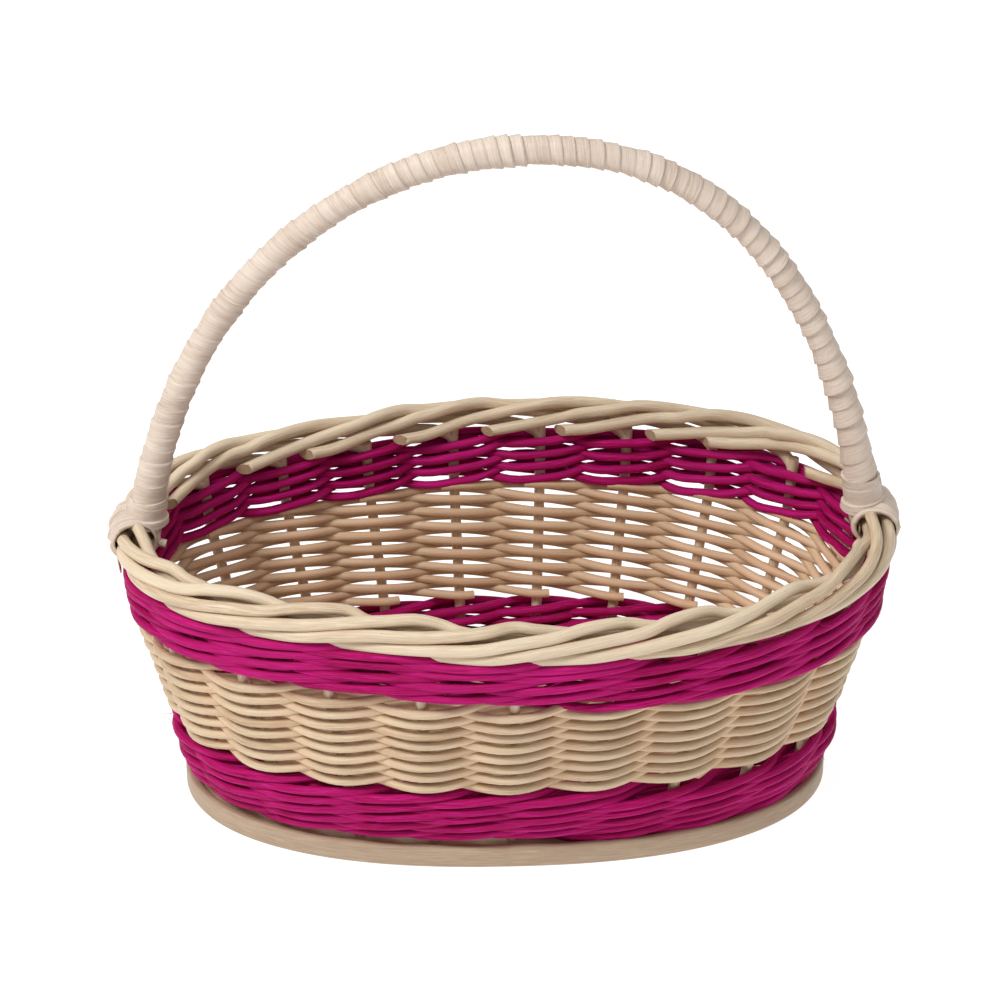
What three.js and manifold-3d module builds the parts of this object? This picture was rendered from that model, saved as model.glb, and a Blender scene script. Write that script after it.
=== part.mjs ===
// An oval easter basket with a fixed bow handle, in millimetres.
// +Z is up, +X runs along the length (the plane of the handle), and the origin is on the floor
// under the middle. A plywood base with a wooden foot hoop carries upright stakes. Three woven
// bands climb the stakes, a rolled border closes them, and a wrapped bow is lashed over both ends.

import * as THREE from 'three';
import { mergeVertices } from 'three/addons/utils/BufferGeometryUtils.js';
import Module from 'manifold-3d';

const wasm = await Module();
wasm.setup();

// Driving dimensions.
const OVAL_POWER = 2.3;
const FIT_GAP = 0.3;
const STAKE_COUNT = 21;
const STAKE_DIAMETER = 3.8;
const WALL_THICKNESS = 9.6;
const RING_STEPS = STAKE_COUNT * 3;

// How finely curves are measured, and how close two corners are to count as one.
const OVAL_SAMPLES = 4000;
const MERGE_DISTANCE = 1e-4;

const HOOP = { halfLength: 113, halfWidth: 63, thickness: 3, height: 8 };
const BOARD = { bottom: 1.5, top: 6.5 };

// Outside of the woven wall: half length and half width at each height.
const WALL = [
  { z: 0, halfLength: 107.5, halfWidth: 57.5 },
  { z: 7, halfLength: 109.5, halfWidth: 59.5 },
  { z: 20, halfLength: 115.0, halfWidth: 65.0 },
  { z: 32.2, halfLength: 117.3, halfWidth: 67.8 },
  { z: 73.4, halfLength: 129.0, halfWidth: 80.0 },
  { z: 95, halfLength: 131.5, halfWidth: 82.5 },
];
// Towards the -X end the basket gets narrower than its oval, more so higher up.
const PINCH = { amount: 0.11, length: 65, bottom: 20, top: 95 };
const WEAVE_BOTTOM = BOARD.top + FIT_GAP;
const LOWER_BAND_KNEE = 20;
const LOWER_BAND_TOP = 32.2;
const UPPER_BAND_BOTTOM = 73.4;
const WEAVE_TOP = 92.8;
const WALL_TOP = 94;
const WALL_MIDDLE = 55;

const BORDER = { halfLength: 127.5, halfWidth: 78.5, z: 100, width: 12.4, height: 11, sides: 8 };

// The bow's centre line is a rounded arch, whose top leans a little towards +X.
const BOW = { halfSpan: 128, rise: 180, centreZ: 60, power: 2.14, lean: 8.7, leanPower: 3 };
const BOW_START = 106;
const CORE = { diameter: 7, bottom: 58, entry: 90, clearance: 0.45 };
const CORE_CHANNEL = { extraDepth: 1.5, top: 114, steps: 8 };
const WRAP = { diameter: 10.6, start: 109.5, clearance: 0.4 };
const LASHING = { halfReach: 10.5, thickness: 1.6, gap: 0.4, roundSides: 12 };

const TUBE_SIDES = 6;
const HANDLE_SIDES = 8;

const COLOURS = {
  cane: new THREE.MeshStandardMaterial({ color: 0xdcc9ad, roughness: 0.55, metalness: 0 }),
  naturalWeave: new THREE.MeshStandardMaterial({ color: 0xc8a582, roughness: 0.6, metalness: 0 }),
  dyedWeave: new THREE.MeshStandardMaterial({ color: 0xa51568, roughness: 0.5, metalness: 0 }),
  tape: new THREE.MeshStandardMaterial({ color: 0xe0cfba, roughness: 0.5, metalness: 0 }),
  hoop: new THREE.MeshStandardMaterial({ color: 0xbfa482, roughness: 0.6, metalness: 0 }),
  board: new THREE.MeshStandardMaterial({ color: 0xc4a57c, roughness: 0.7, metalness: 0 }),
};

const group = new THREE.Group();

// ---- Helpers ------------------------------------------------------------------------------

function addPart(name, geometry, material) {
  const mesh = new THREE.Mesh(geometry, material);
  mesh.name = name;
  group.add(mesh);
}

// A point on a rounded oval, at an angle measured from +X.
function ovalPoint(halfLength, halfWidth, angle) {
  const power = 2 / OVAL_POWER;
  const c = Math.cos(angle);
  const s = Math.sin(angle);
  const x = halfLength * Math.sign(c) * Math.abs(c) ** power;
  const y = halfWidth * Math.sign(s) * Math.abs(s) ** power;
  return new THREE.Vector2(x, y);
}

// A point of the basket itself: on the oval, and pinched towards one end.
function basketPoint(halfLength, halfWidth, angle, z) {
  const { x, y } = ovalPoint(halfLength, halfWidth, angle);
  const along = THREE.MathUtils.smoothstep(-x, 0, PINCH.length);
  const up = THREE.MathUtils.clamp((z - PINCH.bottom) / (PINCH.top - PINCH.bottom), 0, 1);
  return new THREE.Vector3(x, y * (1 - PINCH.amount * along * up), z);
}

// Angles that step evenly around the oval by length, starting at the middle of the front.
function evenAngles(halfLength, halfWidth, count) {
  const samples = OVAL_SAMPLES;
  const start = -Math.PI / 2;
  const lengths = [0];
  let last = ovalPoint(halfLength, halfWidth, start);
  for (let i = 1; i <= samples; i += 1) {
    const next = ovalPoint(halfLength, halfWidth, start + (2 * Math.PI * i) / samples);
    lengths.push(lengths[i - 1] + next.distanceTo(last));
    last = next;
  }
  const angles = [];
  let sample = 0;
  for (let k = 0; k < count; k += 1) {
    const target = (lengths[samples] * k) / count;
    while (lengths[sample + 1] < target) sample += 1;
    const share = (target - lengths[sample]) / (lengths[sample + 1] - lengths[sample]);
    angles.push(start + (2 * Math.PI * (sample + share)) / samples);
  }
  return angles;
}

// The wall's outside size at a height, between the rows of WALL.
function wallAt(z) {
  let row = 1;
  while (row < WALL.length - 1 && WALL[row].z < z) row += 1;
  const low = WALL[row - 1];
  const high = WALL[row];
  const share = (z - low.z) / (high.z - low.z);
  return {
    halfLength: THREE.MathUtils.lerp(low.halfLength, high.halfLength, share),
    halfWidth: THREE.MathUtils.lerp(low.halfWidth, high.halfWidth, share),
  };
}

// A closed surface whose rows and columns both join end to end, like a ring's.
function ringSurface(rows, columns, pointAt) {
  const positions = [];
  const indices = [];
  for (let i = 0; i < rows; i += 1) {
    for (let j = 0; j < columns; j += 1) {
      positions.push(...pointAt(i, j));
    }
  }
  for (let i = 0; i < rows; i += 1) {
    for (let j = 0; j < columns; j += 1) {
      const nextRow = ((i + 1) % rows) * columns;
      const nextColumn = (j + 1) % columns;
      const a = i * columns + j;
      const b = nextRow + j;
      const c = nextRow + nextColumn;
      const d = i * columns + nextColumn;
      indices.push(a, b, c, a, c, d);
    }
  }
  const geometry = new THREE.BufferGeometry();
  geometry.setAttribute('position', new THREE.Float32BufferAttribute(positions, 3));
  geometry.setIndex(indices);
  return geometry;
}

function roundShape(radius, sides) {
  const shape = new THREE.Shape();
  for (let i = 0; i < sides; i += 1) {
    const angle = (2 * Math.PI * (i + 0.5)) / sides;
    const x = radius * Math.cos(angle);
    const y = radius * Math.sin(angle);
    if (i === 0) shape.moveTo(x, y);
    else shape.lineTo(x, y);
  }
  shape.closePath();
  return shape;
}

function tubeAlong(curve, radius, sides, steps, holeRadius = 0) {
  const shape = roundShape(radius, sides);
  if (holeRadius > 0) shape.holes.push(roundShape(holeRadius, sides));
  return new THREE.ExtrudeGeometry(shape, { steps, extrudePath: curve, curveSegments: 1 });
}

function toSolid(geometry) {
  const plain = geometry.clone();
  plain.deleteAttribute('normal');
  plain.deleteAttribute('uv');
  const merged = mergeVertices(plain, MERGE_DISTANCE);
  const mesh = new wasm.Mesh({
    numProp: 3,
    vertProperties: new Float32Array(merged.attributes.position.array),
    triVerts: new Uint32Array(merged.index.array),
  });
  return new wasm.Manifold(mesh);
}

function toGeometry(solid) {
  const mesh = solid.getMesh();
  const geometry = new THREE.BufferGeometry();
  geometry.setAttribute('position', new THREE.BufferAttribute(mesh.vertProperties, 3));
  geometry.setIndex(new THREE.BufferAttribute(mesh.triVerts, 1));
  return geometry;
}

function cut(geometry, cutters) {
  let solid = toSolid(geometry);
  for (const cutter of cutters) {
    solid = solid.subtract(toSolid(cutter));
  }
  return toGeometry(solid);
}

// ---- Stakes -------------------------------------------------------------------------------

const middleWall = wallAt(WALL_MIDDLE);
const stakeAngles = evenAngles(middleWall.halfLength, middleWall.halfWidth, STAKE_COUNT);
const ringAngles = evenAngles(middleWall.halfLength, middleWall.halfWidth, RING_STEPS);

// The line through the middle of the wall's thickness, at one angle.
function wallLine(angle, bottom, top) {
  const between = WALL.map((row) => row.z).filter((z) => z > bottom && z < top);
  const heights = [bottom, ...between, top];
  const points = heights.map((z) => {
    const wall = wallAt(z);
    const halfLength = wall.halfLength - WALL_THICKNESS / 2;
    const halfWidth = wall.halfWidth - WALL_THICKNESS / 2;
    return basketPoint(halfLength, halfWidth, angle, z);
  });
  return new THREE.CatmullRomCurve3(points);
}

const STAKE_BOTTOM = 1.1;
const STAKE_TOP = 93.3;
const STAKE_CLEARANCE = 0.4;
const STAKE_CURVE_STEPS = 5;

function makeStakes() {
  stakeAngles.forEach((angle, index) => {
    const line = wallLine(angle, STAKE_BOTTOM, STAKE_TOP);
    const stake = tubeAlong(line, STAKE_DIAMETER / 2, TUBE_SIDES, STAKE_CURVE_STEPS);
    addPart(`stake_${String(index + 1).padStart(2, '0')}`, stake, COLOURS.cane);
  });
}

// The same stakes, a little fatter, clear the channels that they stand in.
function stakeChannels() {
  return stakeAngles.map((angle) => {
    const line = wallLine(angle, STAKE_BOTTOM, STAKE_TOP);
    return tubeAlong(line, STAKE_DIAMETER / 2 + STAKE_CLEARANCE, TUBE_SIDES, STAKE_CURVE_STEPS);
  });
}

// ---- Base ---------------------------------------------------------------------------------

// A ring around the oval whose section is a list of corners: how far in from a size, and z.
function ovalRing(sizeAt, corners) {
  return ringSurface(RING_STEPS, corners.length, (i, j) => {
    const corner = corners[j];
    const size = sizeAt(corner.z);
    const halfLength = size.halfLength - corner.inset;
    const halfWidth = size.halfWidth - corner.inset;
    return basketPoint(halfLength, halfWidth, ringAngles[i], corner.z).toArray();
  });
}

function makeHoop() {
  const edge = 0.6;
  const corners = [
    { inset: edge, z: 0 },
    { inset: 0, z: edge },
    { inset: 0, z: HOOP.height - edge },
    { inset: edge, z: HOOP.height },
    { inset: HOOP.thickness, z: HOOP.height },
    { inset: HOOP.thickness, z: 0 },
  ];
  addPart('foot_hoop', ovalRing(() => HOOP, corners), COLOURS.hoop);
}

function makeBoard(channels) {
  const outline = new THREE.Shape();
  const inset = HOOP.thickness + FIT_GAP;
  ringAngles.forEach((angle, index) => {
    const { x, y } = ovalPoint(HOOP.halfLength - inset, HOOP.halfWidth - inset, angle);
    if (index === 0) outline.moveTo(x, y);
    else outline.lineTo(x, y);
  });
  outline.closePath();
  const depth = BOARD.top - BOARD.bottom;
  const board = new THREE.ExtrudeGeometry(outline, { depth, bevelEnabled: false, curveSegments: 1 });
  board.translate(0, 0, BOARD.bottom);
  addPart('base_board', cut(board, channels), COLOURS.board);
}

// ---- Woven bands --------------------------------------------------------------------------

function bandRing(bottom, top, middles) {
  const outside = [bottom, ...middles, top];
  const inside = [...outside].reverse();
  const corners = [
    ...outside.map((z) => ({ inset: 0, z })),
    ...inside.map((z) => ({ inset: WALL_THICKNESS, z })),
  ];
  return ovalRing(wallAt, corners);
}

function makeBands(channels) {
  const halfGap = FIT_GAP / 2;
  const lower = bandRing(WEAVE_BOTTOM, LOWER_BAND_TOP - halfGap, [LOWER_BAND_KNEE]);
  const middle = bandRing(LOWER_BAND_TOP + halfGap, UPPER_BAND_BOTTOM - halfGap, []);
  const upper = bandRing(UPPER_BAND_BOTTOM + halfGap, WEAVE_TOP, []);
  const sockets = [coreChannel(1), coreChannel(-1)];
  addPart('lower_wale_band', cut(lower, channels), COLOURS.dyedWeave);
  addPart('natural_rand_band', cut(middle, [...channels, ...sockets]), COLOURS.naturalWeave);
  addPart('upper_wale_band', cut(upper, [...channels, ...sockets]), COLOURS.dyedWeave);
}

// ---- Border -------------------------------------------------------------------------------

// A point on the border's rounded section, grown by a margin, at a place around the oval.
function borderPoint(angle, turn, margin) {
  const out = Math.cos(turn) * (BORDER.width / 2 + margin);
  const up = Math.sin(turn) * (BORDER.height / 2 + margin);
  const halfLength = BORDER.halfLength + out;
  const halfWidth = BORDER.halfWidth + out;
  return basketPoint(halfLength, halfWidth, angle, BORDER.z + up).toArray();
}

function makeBorder() {
  const border = ringSurface(RING_STEPS, BORDER.sides, (i, j) => {
    const turn = (2 * Math.PI * (j + 0.5)) / BORDER.sides;
    return borderPoint(ringAngles[i], turn, 0);
  });
  addPart('rolled_border', cut(border, [coreChannel(1), coreChannel(-1)]), COLOURS.cane);
}

// ---- Handle -------------------------------------------------------------------------------

// A point on the bow's centre line, at an angle measured from +X.
function bowPoint(angle) {
  const power = 2 / BOW.power;
  const c = Math.cos(angle);
  const s = Math.sin(angle);
  const lean = BOW.lean * s ** BOW.leanPower;
  const x = BOW.halfSpan * Math.sign(c) * Math.abs(c) ** power + lean;
  const z = BOW.centreZ + BOW.rise * s ** power;
  return new THREE.Vector3(x, 0, z);
}

// The angle at which the bow's right half passes a height; its left half is at PI less this.
function bowAngleAt(z) {
  return Math.asin(((z - BOW.centreZ) / BOW.rise) ** (BOW.power / 2));
}

// The bow's centre line over the basket, from one height on the left to the same on the right.
function bowPoints(startZ, count) {
  const start = bowAngleAt(startZ);
  const points = [];
  for (let i = 0; i <= count; i += 1) {
    points.push(bowPoint(Math.PI - start - ((Math.PI - 2 * start) * i) / count));
  }
  return points;
}

// Each end of the bow turns down through the border and into the middle of the wall.
function socketPoints(side, bottom) {
  const heights = [bottom, UPPER_BAND_BOTTOM, CORE.entry];
  const points = heights.map((z) => {
    const wall = wallAt(z);
    return new THREE.Vector3(side * (wall.halfLength - WALL_THICKNESS / 2), 0, z);
  });
  points.push(new THREE.Vector3(side * BORDER.halfLength, 0, BORDER.z));
  return points;
}

const BOW_STEPS = 28;

function coreCurve() {
  const left = socketPoints(-1, CORE.bottom);
  const right = socketPoints(1, CORE.bottom).reverse();
  const points = [...left, ...bowPoints(BOW_START, BOW_STEPS), ...right];
  return new THREE.CatmullRomCurve3(points, false, 'centripetal');
}

// The room that one end of the core needs through the wall, the border and its binding.
function coreChannel(side) {
  const points = socketPoints(side, CORE.bottom - CORE_CHANNEL.extraDepth);
  for (const z of [BOW_START, CORE_CHANNEL.top]) {
    const angle = bowAngleAt(z);
    points.push(bowPoint(side > 0 ? angle : Math.PI - angle));
  }
  const curve = new THREE.CatmullRomCurve3(points, false, 'centripetal');
  const radius = CORE.diameter / 2 + CORE.clearance;
  return tubeAlong(curve, radius, HANDLE_SIDES, CORE_CHANNEL.steps);
}

function makeHandle() {
  const coreSteps = BOW_STEPS + CORE_CHANNEL.steps;
  const core = tubeAlong(coreCurve(), CORE.diameter / 2, HANDLE_SIDES, coreSteps);
  addPart('handle_core', core, COLOURS.cane);
  const bow = new THREE.CatmullRomCurve3(bowPoints(WRAP.start, BOW_STEPS));
  const hole = CORE.diameter / 2 + WRAP.clearance;
  const wrap = tubeAlong(bow, WRAP.diameter / 2, HANDLE_SIDES, BOW_STEPS, hole);
  addPart('handle_wrap', wrap, COLOURS.tape);
}

// A broad binding that goes around the border where the bow enters it.
function makeLashing(name, side) {
  const centreAngle = side > 0 ? 0 : Math.PI;
  const inner = LASHING.gap;
  const outer = inner + LASHING.thickness;
  const reach = LASHING.halfReach / BORDER.halfWidth;
  const along = [-1, 0, 1];
  const loop = [
    ...along.map((share) => ({ share, margin: outer })),
    ...[...along].reverse().map((share) => ({ share, margin: inner })),
  ];
  const sleeve = ringSurface(loop.length, LASHING.roundSides, (i, j) => {
    const turn = (2 * Math.PI * (j + 0.5)) / LASHING.roundSides;
    const y = loop[i].share * reach;
    const angle = centreAngle + Math.sign(y) * Math.asin(Math.abs(y) ** (OVAL_POWER / 2));
    return borderPoint(angle, turn, loop[i].margin);
  });
  addPart(name, cut(sleeve, [coreChannel(side), wallClearance()]), COLOURS.tape);
}

// The top of the woven wall with room to spare, which the bindings are cut clear of.
function wallClearance() {
  const corners = [
    { inset: -FIT_GAP, z: UPPER_BAND_BOTTOM },
    { inset: -FIT_GAP, z: WALL_TOP },
    { inset: WALL_THICKNESS + FIT_GAP, z: WALL_TOP },
    { inset: WALL_THICKNESS + FIT_GAP, z: UPPER_BAND_BOTTOM },
  ];
  return ovalRing(wallAt, corners);
}

// ---- The basket ---------------------------------------------------------------------------

const channels = stakeChannels();
makeHoop();
makeBoard(channels);
makeStakes();
makeBands(channels);
makeBorder();
makeHandle();
makeLashing('left_lashing', -1);
makeLashing('right_lashing', 1);

export default group;
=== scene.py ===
"""The looks of the easter basket: every rod of its weave, its rolled border, its wrapped bow and foot."""

import math

import bpy
import numpy as np
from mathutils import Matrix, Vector


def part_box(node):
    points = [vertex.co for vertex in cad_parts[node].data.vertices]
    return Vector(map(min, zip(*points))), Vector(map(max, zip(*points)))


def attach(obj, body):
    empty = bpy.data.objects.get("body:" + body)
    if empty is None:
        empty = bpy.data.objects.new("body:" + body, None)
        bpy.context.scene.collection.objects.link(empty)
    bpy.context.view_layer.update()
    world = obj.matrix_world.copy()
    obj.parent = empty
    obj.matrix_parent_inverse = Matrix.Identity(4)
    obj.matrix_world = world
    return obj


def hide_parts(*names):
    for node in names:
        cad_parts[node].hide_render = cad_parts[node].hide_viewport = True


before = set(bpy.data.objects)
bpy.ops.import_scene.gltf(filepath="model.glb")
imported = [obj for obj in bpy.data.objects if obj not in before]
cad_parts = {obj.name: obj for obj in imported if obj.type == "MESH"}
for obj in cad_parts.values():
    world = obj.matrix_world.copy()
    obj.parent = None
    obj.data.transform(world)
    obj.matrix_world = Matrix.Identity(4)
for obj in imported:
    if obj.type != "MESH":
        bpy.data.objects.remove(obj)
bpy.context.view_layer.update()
random = np.random.default_rng(21)

MM = 0.001

# ---- Sizes, in millimetres ------------------------------------------------------------------

OVAL_POWER = 2.3
STAKE_COUNT = 21
STAKE_RADIUS = 1.9
WALL_THICKNESS = 9.6
WALL_MIDDLE_Z = 55.0
WEAVER_RADIUS = 1.56
WALE_RADIUS = 1.58
BORDER_RADIUS = 2.1
CORE_RADIUS = 3.0

# How finely the rods are drawn: steps from stake to stake, and sides around.
STEPS_PER_GAP = 9
ROD_SIDES = 12


def box_mm(node):
    low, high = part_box(node)
    return np.array(low) / MM, np.array(high) / MM


hoop_high = box_mm("foot_hoop")[1]
board_low, board_high = box_mm("base_board")
lower_low, lower_high = box_mm("lower_wale_band")
middle_low, middle_high = box_mm("natural_rand_band")
upper_low, upper_high = box_mm("upper_wale_band")
border_low, border_high = box_mm("rolled_border")
wrap_high = box_mm("handle_wrap")[1]
stake_low, stake_high = box_mm("stake_01")

# The outside of the woven wall: height, half length and half width. It leans out most from the
# foot up to the knee in the lower band.
FOOT_INSET = 3.6
KNEE_Z = 20.0
KNEE_INSET = (2.4, 2.6)
WALL = np.array(
    [
        [board_high[2], hoop_high[0] - FOOT_INSET, hoop_high[1] - FOOT_INSET],
        [KNEE_Z, lower_high[0] - KNEE_INSET[0], lower_high[1] - KNEE_INSET[1]],
        [lower_high[2], lower_high[0], lower_high[1]],
        [middle_high[2], middle_high[0], middle_high[1]],
        [upper_high[2], upper_high[0], upper_high[1]],
    ]
)

BORDER_Z = (border_low[2] + border_high[2]) / 2
BORDER_HALF_WIDTH = 6.2
BORDER_A = border_high[0] - BORDER_HALF_WIDTH
BORDER_B = border_high[1] - BORDER_HALF_WIDTH
BORDER_STAKE_GAP = 31.5

# The bow is a superellipse that leans towards +X at its top.
WRAP_RADIUS = 5.3
BOW_TOP = wrap_high[2] - WRAP_RADIUS
BOW_CENTRE_Z = 60.0
BOW_HALF_SPAN = 126.0
BOW_POWER = 2.14
BOW_LEAN = 8.7
BOW_LEAN_POWER = 3

# Towards the -X end the basket gets narrower than its oval, more so higher up.
PINCH_AMOUNT = 0.11
PINCH_LENGTH = 65.0
PINCH_BOTTOM = 20.0
PINCH_TOP = 95.0


# ---- Places on the oval -----------------------------------------------------------------------


def oval(a, b, angle):
    """The superellipse that every level of the basket follows."""
    power = 2 / OVAL_POWER
    c, s = np.cos(angle), np.sin(angle)
    return a * np.sign(c) * np.abs(c) ** power, b * np.sign(s) * np.abs(s) ** power


def basket_points(a, b, angle, z):
    """Points of the basket itself: on the oval, and pinched towards one end."""
    x, y = oval(a, b, angle)
    along = np.clip(-x / PINCH_LENGTH, 0, 1)
    along = along * along * (3 - 2 * along)
    up = np.clip((z - PINCH_BOTTOM) / (PINCH_TOP - PINCH_BOTTOM), 0, 1)
    return np.stack([x, y * (1 - PINCH_AMOUNT * along * up), np.broadcast_to(z, np.shape(x))], axis=1)


def make_angle_table():
    """Angles around the wall from the middle of the front, and the share of its girth at each."""
    samples = np.linspace(-math.pi / 2, 1.5 * math.pi, 8001)
    a = np.interp(WALL_MIDDLE_Z, WALL[:, 0], WALL[:, 1])
    b = np.interp(WALL_MIDDLE_Z, WALL[:, 0], WALL[:, 2])
    x, y = oval(a, b, samples)
    steps = np.hypot(np.diff(x), np.diff(y))
    lengths = np.concatenate([[0], np.cumsum(steps)])
    return samples, lengths / lengths[-1]


ANGLES, SHARES = make_angle_table()


def angle_at(stakes):
    """The oval's angle at a place counted in stakes from the middle of the front."""
    turns = np.asarray(stakes, float) / STAKE_COUNT
    whole = np.floor(turns)
    return np.interp(turns - whole, SHARES, ANGLES)


def wall_points(stakes, z, depth):
    """Points in the wall: a place around it, a height, and how far out from its middle."""
    a = np.interp(z, WALL[:, 0], WALL[:, 1]) - WALL_THICKNESS / 2 + depth
    b = np.interp(z, WALL[:, 0], WALL[:, 2]) - WALL_THICKNESS / 2 + depth
    return basket_points(a, b, angle_at(stakes), z)


def outward(points):
    """Level directions that point out from the oval at each point."""
    ratio = BORDER_A / BORDER_B
    out = np.stack([points[:, 0], points[:, 1] * ratio**2, np.zeros(len(points))], axis=1)
    return out / np.linalg.norm(out, axis=1, keepdims=True)


def wander(count, size, step):
    """A gentle random wander, for hand-made unevenness."""
    knots = random.normal(0, size, int(count / step) + 4)
    places = np.arange(count) / step
    base = np.floor(places).astype(int)
    share = places - base
    share = share * share * (3 - 2 * share)
    return knots[base] * (1 - share) + knots[base + 1] * share


# ---- Meshes -----------------------------------------------------------------------------------


class Canes:
    """Collects tubes and strips of cane into one mesh, with the grain's own coordinates."""

    def __init__(self):
        self.points = []
        self.faces = []
        self.grain = []
        self.tone = []
        self.cut = []
        # How much painted warm shade each point gets, for the shade and bounce light inside the basket.
        self.painted_shade = []
        self.count = 0

    def add(self, points, faces, grain, tone, cut=0.0, painted_shade=0.0):
        points = np.asarray(points, float)
        self.points.append(points)
        self.faces.extend([[self.count + i for i in face] for face in faces])
        self.grain.append(np.asarray(grain, float))
        self.tone.append(np.broadcast_to(np.asarray(tone, float), len(points)))
        self.cut.append(np.full(len(points), cut))
        self.painted_shade.append(np.broadcast_to(np.asarray(painted_shade, float), len(points)))
        self.count += len(points)

    def tube(
        self, path, radius, sides=ROD_SIDES, reference=None, tone=0.5, slants=(None, None), painted_shade=0.0
    ):
        """A round rod along a path, with flat cut ends that a slant can tilt."""
        path = np.asarray(path, float)
        count = len(path)
        radius = np.broadcast_to(radius, count)
        tangent = np.gradient(path, axis=0)
        tangent /= np.linalg.norm(tangent, axis=1, keepdims=True)
        reference = outward(path) if reference is None else reference
        side = np.cross(tangent, reference)
        side /= np.linalg.norm(side, axis=1, keepdims=True)
        across = np.cross(side, tangent)
        turn = np.linspace(0, 2 * math.pi, sides, endpoint=False)
        offset = (
            across[:, None, :] * np.cos(turn)[None, :, None]
            + side[:, None, :] * np.sin(turn)[None, :, None]
        ) * radius[:, None, None]
        rings = path[:, None, :] + offset
        for end, slant in zip((0, -1), slants):
            if slant is not None:
                lean = offset[end] @ np.asarray(slant, float)
                rings[end] += tangent[end] * lean[:, None]
        length = np.concatenate([[0], np.cumsum(np.linalg.norm(np.diff(path, axis=0), axis=1))])
        start = random.uniform(0, 500)
        grain = np.zeros((count, sides, 3))
        grain[:, :, 0] = np.cos(turn)[None, :] * radius[:, None]
        grain[:, :, 1] = np.sin(turn)[None, :] * radius[:, None]
        grain[:, :, 2] = length[:, None] + start
        faces = []
        for i in range(count - 1):
            low, high = i * sides, (i + 1) * sides
            for j in range(sides):
                k = (j + 1) % sides
                faces.append([low + j, low + k, high + k, high + j])
        painted_shade = np.repeat(np.broadcast_to(painted_shade, count), sides)
        self.add(rings.reshape(-1, 3), faces, grain.reshape(-1, 3), tone, 0.0, painted_shade)
        around = list(range(sides))
        self.add(rings[0], [around[::-1]], grain[0], tone, 1.0)
        self.add(rings[-1], [around], grain[-1], tone, 1.0)

    def strip(self, path, width_direction, width, thickness, tone=0.5, rounding=0.35):
        """A flat peel of cane along a path: width across it, and a crowned face outward."""
        path = np.asarray(path, float)
        count = len(path)
        width = np.broadcast_to(width, count)
        tangent = np.gradient(path, axis=0)
        tangent /= np.linalg.norm(tangent, axis=1, keepdims=True)
        wide = np.asarray(width_direction, float)
        wide = wide - tangent * np.sum(wide * tangent, axis=1, keepdims=True)
        wide /= np.linalg.norm(wide, axis=1, keepdims=True)
        up = np.cross(tangent, wide)
        shape = np.array(
            [
                [-0.5, 0.0], [-0.46, 0.6], [-0.25, 0.9], [0.0, 1.0], [0.25, 0.9], [0.46, 0.6],
                [0.5, 0.0], [0.25, -rounding], [-0.25, -rounding],
            ]
        )
        rings = (
            path[:, None, :]
            + wide[:, None, :] * shape[None, :, 0, None] * width[:, None, None]
            + up[:, None, :] * shape[None, :, 1, None] * thickness
        )
        sides = len(shape)
        length = np.concatenate([[0], np.cumsum(np.linalg.norm(np.diff(path, axis=0), axis=1))])
        grain = np.zeros((count, sides, 3))
        grain[:, :, 0] = shape[None, :, 0] * width[:, None]
        grain[:, :, 1] = shape[None, :, 1] * thickness
        grain[:, :, 2] = length[:, None] + random.uniform(0, 500)
        faces = []
        for i in range(count - 1):
            low, high = i * sides, (i + 1) * sides
            for j in range(sides):
                k = (j + 1) % sides
                faces.append([low + j, high + j, high + k, low + k])
        self.add(rings.reshape(-1, 3), faces, grain.reshape(-1, 3), tone)
        around = list(range(sides))
        self.add(rings[0], [around], grain[0], tone, 1.0)
        self.add(rings[-1], [around[::-1]], grain[-1], tone, 1.0)

    def build(self, name, material):
        mesh = bpy.data.meshes.new(name)
        points = np.concatenate(self.points) * MM
        mesh.from_pydata(points.tolist(), [], self.faces)
        mesh.polygons.foreach_set("use_smooth", np.ones(len(mesh.polygons), bool))
        grain = mesh.attributes.new("grain", "FLOAT_VECTOR", "POINT")
        grain.data.foreach_set("vector", np.concatenate(self.grain).astype(np.float32).ravel())
        for label, values in (("tone", self.tone), ("cut", self.cut), ("painted_shade", self.painted_shade)):
            attribute = mesh.attributes.new(label, "FLOAT", "POINT")
            attribute.data.foreach_set("value", np.concatenate(values).astype(np.float32))
        mesh.update()
        mesh.materials.append(material)
        piece = bpy.data.objects.new(name, mesh)
        bpy.context.collection.objects.link(piece)
        return piece


def place(piece, slot, *nodes):
    """Puts a finished piece on the one body, where it stands for its CAD nodes, which it hides."""
    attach(piece, "root")
    if nodes:
        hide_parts(*nodes)


# ---- Materials --------------------------------------------------------------------------------


def new_material(name):
    material = bpy.data.materials.new(name)
    material.use_nodes = True
    tree = material.node_tree
    shader = tree.nodes["Principled BSDF"]
    return material, tree, shader


def node(tree, kind, **inputs):
    made = tree.nodes.new(kind)
    for key, value in inputs.items():
        made.inputs[key.replace("_", " ")].default_value = value
    return made


def attribute(tree, name):
    made = tree.nodes.new("ShaderNodeAttribute")
    made.attribute_name = name
    return made


def stretched_noise(tree, source, stretch, scale, detail=4.0, roughness=0.6):
    mapping = node(tree, "ShaderNodeMapping", Scale=stretch)
    tree.links.new(source, mapping.inputs["Vector"])
    noise = node(tree, "ShaderNodeTexNoise", Scale=scale, Detail=detail, Roughness=roughness)
    tree.links.new(mapping.outputs["Vector"], noise.inputs["Vector"])
    return noise.outputs["Fac"]


def ramp(tree, source, stops):
    made = tree.nodes.new("ShaderNodeValToRGB")
    tree.links.new(source, made.inputs["Fac"])
    elements = made.color_ramp.elements
    while len(elements) < len(stops):
        elements.new(0.5)
    for element, (position, colour) in zip(elements, stops):
        element.position = position
        element.color = (*colour, 1.0)
    return made.outputs["Color"]


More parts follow.
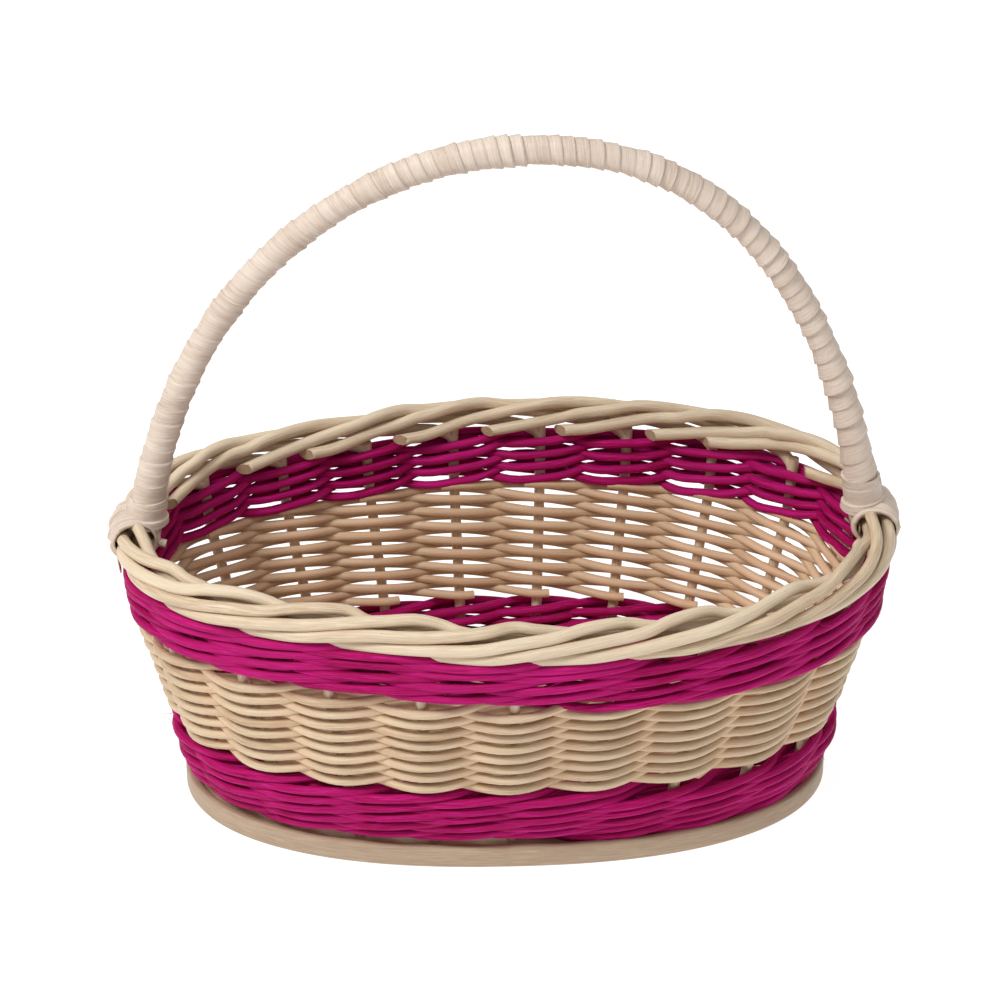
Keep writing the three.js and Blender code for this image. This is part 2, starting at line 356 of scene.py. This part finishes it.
def mix(tree, amount, first, second):
    made = tree.nodes.new("ShaderNodeMix")
    made.data_type = "RGBA"
    for value, socket in ((amount, made.inputs[0]), (first, made.inputs[6]), (second, made.inputs[7])):
        if isinstance(value, bpy.types.NodeSocket):
            tree.links.new(value, socket)
        elif isinstance(value, tuple):
            socket.default_value = (*value, 1.0)
        else:
            socket.default_value = value
    return made.outputs[2]


def scaled(tree, source, low, high, out_low, out_high):
    made = tree.nodes.new("ShaderNodeMapRange")
    tree.links.new(source, made.inputs["Value"])
    for key, value in (("From Min", low), ("From Max", high), ("To Min", out_low), ("To Max", out_high)):
        made.inputs[key].default_value = value
    return made.outputs["Result"]


# Painted warm shade: the tan mixed into the weavers' inner side of the basket, standing in for the shade
# and bounce light inside it.
PAINTED_INSIDE_SHADE = (0.80, 0.49, 0.30)


def cane_material(
    name, dark, middle, light, end_colour, gloss=0.5, relief=0.12, specks=0.35, specular=0.35
):
    """Peeled cane: fibres along the rod, slow stains, a tone for each rod, a painted warm shade on the
    weavers' inner sides and pores at cut ends.

    dark, middle and light are the colours of the fibres, and end_colour is the pith's.
    """
    material, tree, shader = new_material(name)
    grain = attribute(tree, "grain").outputs["Vector"]
    tone = attribute(tree, "tone").outputs["Fac"]
    cut = attribute(tree, "cut").outputs["Fac"]
    fibres = stretched_noise(tree, grain, (3.2, 3.2, 0.10), 1.0, 5.0, 0.65)
    stains = stretched_noise(tree, grain, (0.35, 0.35, 0.035), 1.0, 3.0)
    colour = ramp(tree, fibres, [(0.34, dark), (0.50, middle), (0.68, light)])
    stained = mix(tree, scaled(tree, stains, 0.35, 0.75, 0.0, 0.55), colour, dark)
    toned = mix(tree, scaled(tree, tone, 0.0, 1.0, 0.0, 0.55), stained, light)
    # Painted shade: a warm tan mixed in where the weavers face the inside of the basket, in place of the
    # shade and bounce light there.
    painted_shade = attribute(tree, "painted_shade").outputs["Fac"]
    with_painted_shade = mix(tree, scaled(tree, painted_shade, 0.0, 1.0, 0.0, 0.55), toned, PAINTED_INSIDE_SHADE)
    spots = stretched_noise(tree, grain, (1.0, 1.0, 0.5), 1.3, 2.0)
    spotted = mix(tree, scaled(tree, spots, 0.70, 0.78, 0.0, specks), with_painted_shade, end_colour)
    pores = stretched_noise(tree, grain, (6.0, 6.0, 6.0), 1.0, 2.0)
    pith = ramp(tree, pores, [(0.40, end_colour), (0.62, middle)])
    final = mix(tree, cut, spotted, pith)
    tree.links.new(final, shader.inputs["Base Color"])
    shader.inputs["Specular IOR Level"].default_value = specular
    tree.links.new(scaled(tree, fibres, 0.3, 0.7, gloss + 0.10, gloss - 0.08), shader.inputs["Roughness"])
    bump = node(tree, "ShaderNodeBump", Strength=relief, Distance=0.0004)
    tree.links.new(fibres, bump.inputs["Height"])
    tree.links.new(bump.outputs["Normal"], shader.inputs["Normal"])
    return material


def make_materials():
    pith = (0.34, 0.20, 0.11)
    return {
        "cane": cane_material(
            "peeled_cane", (0.43, 0.27, 0.15), (0.65, 0.50, 0.34), (0.84, 0.72, 0.54), pith, 0.44, 0.3
        ),
        "natural": cane_material(
            "natural_weave", (0.38, 0.235, 0.125), (0.61, 0.455, 0.29), (0.79, 0.64, 0.45), pith, 0.48, 0.3
        ),
        "dyed": cane_material(
            "dyed_weave", (0.18, 0.0004, 0.014), (0.42, 0.001, 0.115), (0.66, 0.020, 0.26),
            (0.55, 0.10, 0.26), 0.55, 0.40, 0.15, 0.09,
        ),
        "tape": cane_material(
            "handle_tape", (0.46, 0.33, 0.24), (0.68, 0.55, 0.45), (0.83, 0.72, 0.62), pith, 0.42, 0.6
        ),
        "hoop": cane_material(
            "hoop_strip", (0.29, 0.185, 0.11), (0.42, 0.30, 0.20), (0.55, 0.42, 0.30), pith, 0.50, 0.22
        ),
        "board": cane_material(
            "base_board", (0.42, 0.27, 0.15), (0.56, 0.40, 0.25), (0.66, 0.50, 0.33), pith, 0.60, 0.15
        ),
    }


# ---- Camera, floor and light ------------------------------------------------------------------


def make_camera():
    azimuth, elevation = math.radians(-2.3), math.radians(30.0)
    distance, pixels_wide, focal_pixels, sensor = 1.300, 1000, 3807, 36.0
    target = Vector((-0.0019, 0.0, 0.1087))
    away = Vector(
        (
            math.sin(azimuth) * math.cos(elevation),
            -math.cos(azimuth) * math.cos(elevation),
            math.sin(elevation),
        )
    )
    data = bpy.data.cameras.new("camera")
    data.sensor_width = sensor
    data.lens = focal_pixels / pixels_wide * sensor
    camera = bpy.data.objects.new("camera", data)
    camera.location = target + away * distance
    camera.rotation_euler = (-away).to_track_quat("-Z", "Y").to_euler()
    bpy.context.collection.objects.link(camera)
    bpy.context.scene.camera = camera


def make_floor():
    mesh = bpy.data.meshes.new("floor")
    half = 4.0
    corners = [(-half, -half, 0), (half, -half, 0), (half, half, 0), (-half, half, 0)]
    mesh.from_pydata(corners, [], [(0, 1, 2, 3)])
    floor = bpy.data.objects.new("floor", mesh)
    bpy.context.collection.objects.link(floor)
    material, tree, shader = new_material("floor_paper")
    shader.inputs["Base Color"].default_value = (0.30, 0.30, 0.30, 1)
    shader.inputs["Roughness"].default_value = 0.9
    shader.inputs["Emission Color"].default_value = (1, 1, 1, 1)
    shader.inputs["Emission Strength"].default_value = 0.90
    mesh.materials.append(material)


def area_light(name, place_at, aim, size, power):
    data = bpy.data.lights.new(name, "AREA")
    data.shape = "DISK"
    data.size = size
    data.energy = power
    light = bpy.data.objects.new(name, data)
    light.location = place_at
    light.rotation_euler = (Vector(place_at) - Vector(aim)).to_track_quat("Z", "Y").to_euler()
    bpy.context.collection.objects.link(light)


def make_light():
    world = bpy.data.worlds.new("studio")
    world.use_nodes = True
    background = world.node_tree.nodes["Background"]
    background.inputs["Color"].default_value = (1, 1, 1, 1)
    background.inputs["Strength"].default_value = 0.38
    bpy.context.scene.world = world
    middle = (0, 0, 0.1)
    area_light("key", (-1.0, -0.55, 1.35), middle, 0.45, 15)
    area_light("front", (-0.30, -0.75, 1.75), middle, 0.6, 8)
    area_light("back", (0.0, 0.8, 1.6), middle, 0.8, 4)
    bpy.context.scene.view_settings.view_transform = "Standard"


# ---- The weave --------------------------------------------------------------------------------


def make_stakes(material):
    z = np.linspace(stake_low[2], stake_high[2] + 1.5, 26)
    for k in range(STAKE_COUNT):
        canes = Canes()
        path = wall_points(np.full(len(z), float(k)), np.maximum(z, WALL[0, 0]), 0.0)
        path[:, 2] = z
        path[:, :2] += np.stack([wander(len(z), 0.12, 8), wander(len(z), 0.12, 8)], axis=1)
        canes.tube(path, STAKE_RADIUS, tone=random.uniform(0.3, 1))
        name = f"stake_{k + 1:02d}"
        place(canes.build(f"cane_{name}", material), "cane", name)


# The weavers lie higher inside the stakes than outside them, by twice this, in millimetres.
INSIDE_LIFT = 0.8


def make_natural_band(material):
    """French randing: a weaver from each stake goes in front of one and behind one, rising."""
    rows = 8
    bottom, top = middle_low[2] - 0.5, middle_high[2] + 1.8
    rise = (top - bottom - 2 * WEAVER_RADIUS) / (2 * rows)
    swing = STAKE_RADIUS + WEAVER_RADIUS
    tail = 0.17
    canes = Canes()
    for k in range(STAKE_COUNT):
        t = np.linspace(-tail, 2 * rows + tail, 2 * rows * STEPS_PER_GAP + 4)
        count = len(t)
        depth = -swing * np.cos(math.pi * t) * 1.02 + wander(count, 0.14, 9)
        side = np.cos(math.pi * t)
        z = bottom + WEAVER_RADIUS + np.clip(t, 0, 2 * rows) * rise + wander(count, 0.16, 14)
        z += INSIDE_LIFT * side
        radius = WEAVER_RADIUS * random.uniform(0.95, 1.05) * (1 + wander(count, 0.02, 12))
        path = wall_points(k + t, z, depth)
        # The strokes inside the stakes get the painted warm shade, the outside strokes none.
        canes.tube(path, radius, tone=random.uniform(0, 1), painted_shade=0.5 + 0.5 * side)
    place(canes.build("natural_weavers", material), "natural_weave", "natural_rand_band")


# One repeat of a waling rod over three stakes, a row every quarter of the way between stakes:
# how far out from the wall's middle in millimetres, and the height in rod diameters.
WALE_ROW_STEP = 0.25
WALE_REPEAT = np.array(
    [
        [-3.6, 0.0], [-3.2, -0.25], [-0.8, -0.55], [2.3, -0.56],
        [3.4, -0.42], [4.2, -0.25], [4.6, 0.0], [4.2, 0.25],
        [3.4, 0.42], [2.3, 0.56], [-0.8, 0.55], [-3.2, 0.25],
    ]
)


def smooth_repeat(t, column):
    """A smooth curve through one column of WALE_REPEAT, which repeats every three stakes."""
    values = WALE_REPEAT[:, column]
    count = len(values)
    where = np.mod(t / WALE_ROW_STEP, count)
    base = np.floor(where).astype(int) % count
    s = where - np.floor(where)
    p0, p1, p2, p3 = (values[(base + shift) % count] for shift in (-1, 0, 1, 2))
    cubic = 2 * p1 + (p2 - p0) * s + (2 * p0 - 5 * p1 + 4 * p2 - p3) * s**2
    return 0.5 * (cubic + (3 * p1 - p0 - 3 * p2 + p3) * s**3)


def make_wale_band(
    name, material, cad_node, bottom, top, rounds, outside_drop=0.0, inside_rise=0.0, inside_fall=0.0
):
    """Three-rod waling: three rods wind up together, each in front of two and behind one.

    outside_drop is how far the border presses the uppermost outside strokes down, and the
    inside strokes next to the middle band spread up by inside_rise or down by inside_fall.
    """
    pitch = (top - bottom - 2 * WALE_RADIUS) / rounds
    canes = Canes()
    for rod in range(3):
        total = rounds * STAKE_COUNT
        t = np.linspace(0, total, total * STEPS_PER_GAP)
        count = len(t)
        depth = smooth_repeat(t, 0) + wander(count, 0.25, 9)
        lift = smooth_repeat(t, 1) * 2 * WALE_RADIUS
        climb = t / total * (rounds - 0.5) * pitch
        z = bottom + WALE_RADIUS + 0.25 * pitch + climb + lift + wander(count, 0.30, 12)
        z = np.clip(z, bottom + WALE_RADIUS * 0.8, top - WALE_RADIUS * 0.4)
        near_top = np.clip((z - top + pitch * 1.5) / (pitch * 1.5), 0, 1)
        share = (z - bottom) / (top - bottom)
        inside = np.clip(-depth / 3.0, 0, 1)
        z -= outside_drop * near_top * np.clip(depth / 3.0, 0, 1)
        z += inside * (inside_rise * share - inside_fall * (1 - share))
        radius = WALE_RADIUS * (1 + wander(count, 0.05, 20))
        canes.tube(wall_points(rod + t, z, depth), radius, tone=random.uniform(0.1, 0.7))
    place(canes.build(name, material), "dyed_weave", cad_node)


# A border rod's way round the border's middle line: stakes along, millimetres out and up.
BORDER_WAY = np.array(
    [
        [0.00, -0.8, -9.5],
        [0.05, -0.2, -7.4],
        [0.20, 1.4, -5.8],
        [0.45, 2.8, -4.9],
        [0.80, 4.0, -3.8],
        [1.20, 4.6, -2.0],
        [1.60, 4.4, -0.2],
        [2.00, 3.7, 1.5],
        [2.40, 2.4, 3.1],
        [2.70, 0.4, 4.4],
        [3.00, -1.8, 4.8],
        [3.25, -2.8, 3.7],
        [3.45, -2.5, 2.2],
        [3.70, -2.4, 0.9],
        [4.00, -3.2, -0.7],
        [4.45, -5.0, -3.0],
        [4.80, -5.7, -4.4],
    ]
)


def spline(knots, count):
    """Catmull-Rom through rows of numbers."""
    padded = np.concatenate([[2 * knots[0] - knots[1]], knots, [2 * knots[-1] - knots[-2]]])
    t = np.linspace(0, len(knots) - 1 - 1e-9, count)
    base = np.floor(t).astype(int)
    s = (t - base)[:, None]
    p0, p1, p2, p3 = (padded[base + shift] for shift in range(4))
    return 0.5 * (
        2 * p1 + (p2 - p0) * s + (2 * p0 - 5 * p1 + 4 * p2 - p3) * s**2
        + (3 * p1 - p0 - 3 * p2 + p3) * s**3
    )


def make_border(material):
    canes = Canes()
    for k in range(STAKE_COUNT):
        way = BORDER_WAY.copy()
        way[4:, 1:] += random.normal(0, 0.30, way[4:, 1:].shape)
        way[1:, 0] += np.linspace(0, random.normal(0, 0.10), len(way) - 1)
        line = spline(way, 110)
        angle = angle_at(k + line[:, 0])
        half_length, half_width = BORDER_A + line[:, 1], BORDER_B + line[:, 1]
        path = basket_points(half_length, half_width, angle, BORDER_Z + line[:, 2])
        out = outward(path)
        inward_cut = out[-1] * 1.1
        radius = BORDER_RADIUS * random.uniform(0.96, 1.05)
        canes.tube(
            path, radius, 14, tone=random.uniform(0.2, 1), slants=(None, inward_cut), reference=out
        )
    place(canes.build("border_canes", material), "cane", "rolled_border")


# ---- The bow handle ---------------------------------------------------------------------------


def bow_point(angle):
    """The bow's middle line, at an angle measured from +X."""
    power = 2 / BOW_POWER
    c, s = np.cos(angle), np.sin(angle)
    x = BOW_HALF_SPAN * np.sign(c) * np.abs(c) ** power + BOW_LEAN * s**BOW_LEAN_POWER
    return x, BOW_CENTRE_Z + (BOW_TOP - BOW_CENTRE_Z) * s**power


def bow_angle_at(z):
    return np.arcsin(((z - BOW_CENTRE_Z) / (BOW_TOP - BOW_CENTRE_Z)) ** (BOW_POWER / 2))


def bow_path(start_z, count):
    """The bow's middle line from one height on the left to the same height on the right."""
    start = bow_angle_at(start_z)
    x, z = bow_point(np.linspace(math.pi - start, start, count * 4))
    length = np.concatenate([[0], np.cumsum(np.hypot(np.diff(x), np.diff(z)))])
    even = np.linspace(0, length[-1], count)
    x, z = np.interp(even, length, x), np.interp(even, length, z)
    return np.stack([x, np.zeros(count), z], axis=1), even


# Turns of peel: points around the path, the share of a turn's width in which its edge drops to
# the next turn, and the wall thickness of a closed sleeve in millimetres.
SLEEVE_SIDES = 40
EDGE_SHARE = 0.07
SLEEVE_THICKNESS = 0.9


def section_points(path, across, side, turn, reach, rise):
    """Rings around a path, with half widths of reach along across and rise along side."""
    sideways = across[:, None, :] * (np.cos(turn)[None, :] * reach)[:, :, None]
    upward = side[:, None, :] * (np.sin(turn)[None, :] * rise)[:, :, None]
    return path[:, None, :] + sideways + upward


def make_sleeve(canes, path, across, side, width, half_sizes, lip, lumps, closed=False):
    """Overlapping turns of flat peel wound around a path: each is a shallow cone with a lip.

    across and side span the section, width is how far each turn goes along the path, and
    half_sizes are the section's half widths along across and side at each step. A closed sleeve
    has an inside too, and leaves its ends open round what it binds.
    """
    count, sides = len(path), SLEEVE_SIDES
    turn = np.linspace(0, 2 * math.pi, sides, endpoint=False)
    steps = np.concatenate([[0], np.linalg.norm(np.diff(path, axis=0), axis=1)])
    width = np.broadcast_to(width, count)
    phase = np.cumsum(steps / width)[:, None] - turn[None, :] / (2 * math.pi) + 1
    index = np.floor(phase).astype(int)
    turns = index.max() + 2
    lip = np.broadcast_to(lip, count)[:, None]
    lips = random.uniform(0.55, 1.45, turns)
    sizes = random.normal(0, lumps, turns)
    tones = random.uniform(0.25, 0.85, turns)
    share = phase - index
    edge = np.minimum(1, (1 - share) / EDGE_SHARE)
    grow = (lip * (lips[index] * share - 0.5) + sizes[index]) * edge
    grow += (sizes[index + 1] - lip / 2) * (1 - edge)
    grow += wander(count, 0.10, 60)[:, None] + 0.12 * np.sin(2 * turn + 1)[None, :]
    reach, rise = half_sizes[:, 0, None], half_sizes[:, 1, None]
    outer = section_points(path, across, side, turn, reach + grow, rise + grow)
    around = turn[None, :] / (2 * math.pi)
    girth = math.pi * (half_sizes[0, 0] + half_sizes[0, 1])
    grain = np.zeros((count, sides, 3))
    grain[:, :, 0] = share * width[:, None] + index * 7.3
    grain[:, :, 1] = index * 3.1
    grain[:, :, 2] = (index + around) * girth
    points, tone = outer, tones[index]
    if closed:
        thin = SLEEVE_THICKNESS
        inner = section_points(path, across, side, turn, reach - thin, rise - thin)
        points = np.concatenate([outer, inner[::-1]])
        grain = np.concatenate([grain, grain[::-1]])
        tone = np.concatenate([tone, tone[::-1] * 0])
    rows = len(points)
    faces = []
    for i in range(rows if closed else rows - 1):
        low, high = i * sides, ((i + 1) % rows) * sides
        for j in range(sides):
            k = (j + 1) % sides
            faces.append([low + j, low + k, high + k, high + j])
    if not closed:
        ring = list(range(sides))
        faces.append(ring[::-1])
        faces.append([(rows - 1) * sides + j for j in ring])
    canes.add(points.reshape(-1, 3), faces, grain.reshape(-1, 3), tone.ravel())


# The wrapping's size along the bow, from the left end to the right one, against WRAP_RADIUS.
WRAP_SHARES = [0.0, 0.06, 0.18, 0.36, 0.50, 0.64, 0.84, 0.95, 1.0]
WRAP_SIZES = [1.03, 1.0, 0.91, 0.92, 1.0, 0.88, 0.85, 0.97, 1.08]


def make_handle_wrap(material):
    count = 1700
    path, length = bow_path(105.0, count)
    path[:, 1] += wander(count, 0.5, 300)
    tangent = np.gradient(path, axis=0)
    tangent /= np.linalg.norm(tangent, axis=1, keepdims=True)
    side = np.broadcast_to([0.0, 1.0, 0.0], tangent.shape)
    across = np.cross(side, tangent)
    # Turns are wide on the legs, most of all on the right one, and narrow over the top.
    share = length / length[-1]
    width = 4.0 + 2.0 * (1 - share) ** 4 + 4.6 * share**4 + wander(count, 0.5, 90)
    lip = 0.50 + 0.45 * share**3
    radius = WRAP_RADIUS * np.interp(share, WRAP_SHARES, WRAP_SIZES) + wander(count, 0.12, 120)
    half_sizes = np.stack([radius, radius], axis=1)
    canes = Canes()
    make_sleeve(canes, path, across, side, width, half_sizes, lip, 0.12)
    place(canes.build("handle_tape", material), "tape", "handle_wrap")


# The core leaves the wall's line at CORE_ENTRY_Z and is on the bow's line CORE_BLEND higher.
CORE_ENTRY_Z = 88
CORE_BLEND = 14
CORE_TOP_Z = 106


def make_handle_core(material):
    """The bow's own cane goes down through the border and into the wall at each end."""
    canes = Canes()
    core_low = box_mm("handle_core")[0]
    for side in (-1, 1):
        z = np.linspace(core_low[2] + 1, CORE_TOP_Z, 30)
        a = np.interp(z, WALL[:, 0], WALL[:, 1]) - WALL_THICKNESS / 2
        angle = bow_angle_at(np.maximum(z, CORE_ENTRY_Z))
        bow = bow_point(angle if side > 0 else math.pi - angle)[0] * side
        share = np.clip((z - CORE_ENTRY_Z) / CORE_BLEND, 0, 1)
        x = side * (a * (1 - share) + bow * share)
        path = np.stack([x, np.zeros(len(z)), z], axis=1)
        canes.tube(path, CORE_RADIUS, 16, tone=0.6)
    place(canes.build("bow_core", material), "cane", "handle_core")


def border_frame(centre_stake, reach, count):
    """The border's middle line near one place, with its outward and upward directions."""
    along = np.linspace(-reach, reach, count)
    angle = angle_at(centre_stake + along / BORDER_STAKE_GAP)
    path = basket_points(BORDER_A, BORDER_B, angle, np.full(count, BORDER_Z))
    return path, outward(path), np.broadcast_to([0.0, 0.0, 1.0], path.shape)


# A lashing's length to each side of the bow, and its half sizes outward and upward.
LASHING_REACH = 9.6
LASHING_HALF_SIZES = (7.7, 7.0)

# The collar's radii at its bottom, at its shoulder and at its top.
COLLAR_HEIGHTS = (103.5, 107.0)
COLLAR_RADII = (8.4, 7.2, 6.3)


def make_lashing(name, side, material, peel_turn, collar_turn, collar_top):
    """Turns of peel that bind one end of the bow down over the border, and a collar above."""
    centre = STAKE_COUNT / 4 * (1 if side > 0 else 3)
    canes = Canes()
    count = 200
    path, out, up = border_frame(centre, LASHING_REACH, count)
    lump = np.sin(np.linspace(0, math.pi, count)) * 0.7
    half_sizes = np.stack([LASHING_HALF_SIZES[0] + lump, LASHING_HALF_SIZES[1] + lump], axis=1)
    path = path - out * 0.2
    make_sleeve(canes, path, out, up, peel_turn, half_sizes, 0.8, 0.25, closed=True)
    z = np.linspace(COLLAR_HEIGHTS[0], collar_top, count)
    angle = bow_angle_at(z)
    x = bow_point(angle if side > 0 else math.pi - angle)[0]
    path = np.stack([x, np.zeros(count), z], axis=1)
    out = np.broadcast_to([float(side), 0.0, 0.0], path.shape)
    across = np.broadcast_to([0.0, 1.0, 0.0], path.shape)
    radius = np.interp(z, [*COLLAR_HEIGHTS, collar_top], COLLAR_RADII)
    half_sizes = np.stack([radius, radius], axis=1)
    make_sleeve(canes, path, out, across, collar_turn, half_sizes, 0.7, 0.2, closed=True)
    place(canes.build(f"{name}_peel", material), "tape", name)


def make_strands(material):
    """The ends of the binding peel that run on down the wall, and a stub of cane inside."""
    canes = Canes()
    inside, outside = WALL[-1, 1] - WALL_THICKNESS - 0.8, WALL[-1, 1] + 1.6
    runs = (
        (inside, -6.0, 1.0, 100.0, 84.0, 3.4, 1),
        (outside, -2.5, 0.5, 97.0, 88.0, 3.0, 1),
        (outside - 0.6, -8.0, 1.5, 95.0, 88.0, 3.4, -1),
    )
    for x, y, drift, top, bottom, width, side in runs:
        share = np.linspace(0, 1, 18)
        z = top + (bottom - top) * share
        lean = np.interp(z, WALL[:, 0], WALL[:, 1]) - WALL[-1, 1]
        path = np.stack([side * (x + lean), y + drift * share + wander(18, 0.2, 6), z], axis=1)
        across = np.broadcast_to([0.0, 1.0 if side > 0 else -1.0, 0.0], path.shape)
        canes.strip(path, across, width, 0.5, tone=0.35)
    stub = np.array([[-121.0, -4.0, 97.0], [-118.5, -4.5, 97.4], [-116.0, -5.0, 97.0]])
    canes.tube(spline(stub, 10), 1.5, tone=0.1)
    place(canes.build("peel_ends", material), "tape")


HAIR_COUNT = 90


def make_hairs(material):
    """Loose fibres that stand away from the dyed rods."""
    canes = Canes()
    for _ in range(HAIR_COUNT):
        if random.random() < 0.5:
            z = random.uniform(lower_low[2] + 3, lower_high[2] - 2)
        else:
            z = random.uniform(upper_low[2] + 1, upper_high[2] - 2)
        stake = random.uniform(0, STAKE_COUNT)
        reach, length = random.uniform(0.8, 3.0), random.uniform(3, 10) / BORDER_STAKE_GAP
        bend = np.linspace(0, 1, 6)
        outside = random.random() < 0.7
        depth = (5.6 + reach * bend**1.5) * (1 if outside else -1)
        heights = z + random.normal(0, 1.6) * bend + random.normal(0, 1.5) * bend**2
        path = wall_points(stake + length * bend * random.choice([-1, 1]), heights, depth)
        canes.tube(path, np.linspace(0.10, 0.04, 6), 5, tone=random.uniform(0.6, 1.6))
    place(canes.build("loose_fibres", material), "dyed_weave")


# ---- The foot ---------------------------------------------------------------------------------


def oval_band(canes, half_length, half_width, corners, tone):
    """A closed ring around the oval from a list of corners: millimetres in, and height."""
    count = 420
    stakes = np.linspace(0, STAKE_COUNT, count, endpoint=False)
    sides = len(corners)
    points = np.zeros((count, sides, 3))
    grain = np.zeros((count, sides, 3))
    x, y = oval(half_length, half_width, angle_at(stakes))
    length = np.cumsum(np.hypot(np.gradient(x), np.gradient(y)))
    bow = wander(count, 0.12, 60)
    for j, (inset, z) in enumerate(corners):
        x, y = oval(half_length - inset, half_width - inset, angle_at(stakes))
        points[:, j] = np.stack([x, y, np.full(count, z) + bow * (z > 1)], axis=1)
        grain[:, j] = np.stack([np.full(count, inset), np.full(count, z * 0.8), length], axis=1)
    faces = []
    for i in range(count):
        low, high = i * sides, ((i + 1) % count) * sides
        for j in range(sides):
            k = (j + 1) % sides
            faces.append([low + j, high + j, high + k, low + k])
    canes.add(points.reshape(-1, 3), faces, grain.reshape(-1, 3), tone)


def make_hoop(material):
    height, thickness, round_off = hoop_high[2], 3.0, 0.9
    corners = [
        (thickness * 0.5, 0.0), (round_off, 0.0), (0.35, 0.3), (0.0, round_off),
        (0.0, height * 0.35), (0.0, height * 0.65), (0.0, height - round_off),
        (0.35, height - 0.3), (round_off, height), (thickness - 0.5, height),
        (thickness, height - 0.5), (thickness, height * 0.5), (thickness, 0.0),
    ]
    canes = Canes()
    oval_band(canes, hoop_high[0], hoop_high[1], corners, 0.5)
    place(canes.build("hoop_strip", material), "hoop", "foot_hoop")


def make_board(material):
    count = 240
    stakes = np.linspace(0, STAKE_COUNT, count, endpoint=False)
    a, b = board_high[0], board_high[1]
    low_z, high_z, chamfer = board_low[2], board_high[2], 0.4
    levels = ((chamfer, low_z), (0.0, low_z + chamfer), (0.0, high_z - chamfer), (chamfer, high_z))
    rings = []
    for inset, z in levels:
        x, y = oval(a - inset, b - inset, angle_at(stakes))
        rings.append(np.stack([x, y, np.full(count, z)], axis=1))
    points = np.concatenate(rings)
    faces = []
    for ring in range(3):
        for i in range(count):
            k = (i + 1) % count
            low, high = ring * count, (ring + 1) * count
            faces.append([low + i, low + k, high + k, high + i])
    faces.append(list(range(count))[::-1])
    faces.append([3 * count + i for i in range(count)])
    grain = points[:, [1, 2, 0]] * np.array([0.5, 0.5, 1.0])
    canes = Canes()
    canes.add(points, faces, grain, 0.4)
    board = canes.build("base_ply", material)
    board.data.polygons.foreach_set("use_smooth", np.zeros(len(board.data.polygons), bool))
    place(board, "board", "base_board")


# ---- The scene --------------------------------------------------------------------------------

make_camera()
make_floor()
make_light()
materials = make_materials()
make_board(materials["board"])
make_hoop(materials["hoop"])
make_stakes(materials["cane"])
make_wale_band(
    "lower_wale", materials["dyed"], "lower_wale_band", lower_low[2], lower_high[2] + 0.4, 5,
    inside_rise=1.4,
)
make_natural_band(materials["natural"])
make_wale_band(
    "upper_wale", materials["dyed"], "upper_wale_band", upper_low[2] - 1.3, upper_high[2] + 3.4, 4,
    outside_drop=2.2, inside_fall=1.6,
)
make_border(materials["cane"])
make_handle_core(materials["cane"])
make_handle_wrap(materials["tape"])
make_lashing("left_lashing", -1, materials["tape"], 3.4, 4.4, 113.0)
make_lashing("right_lashing", 1, materials["tape"], 4.6, 5.5, 116.0)
make_strands(materials["tape"])
make_hairs(materials["dyed"])
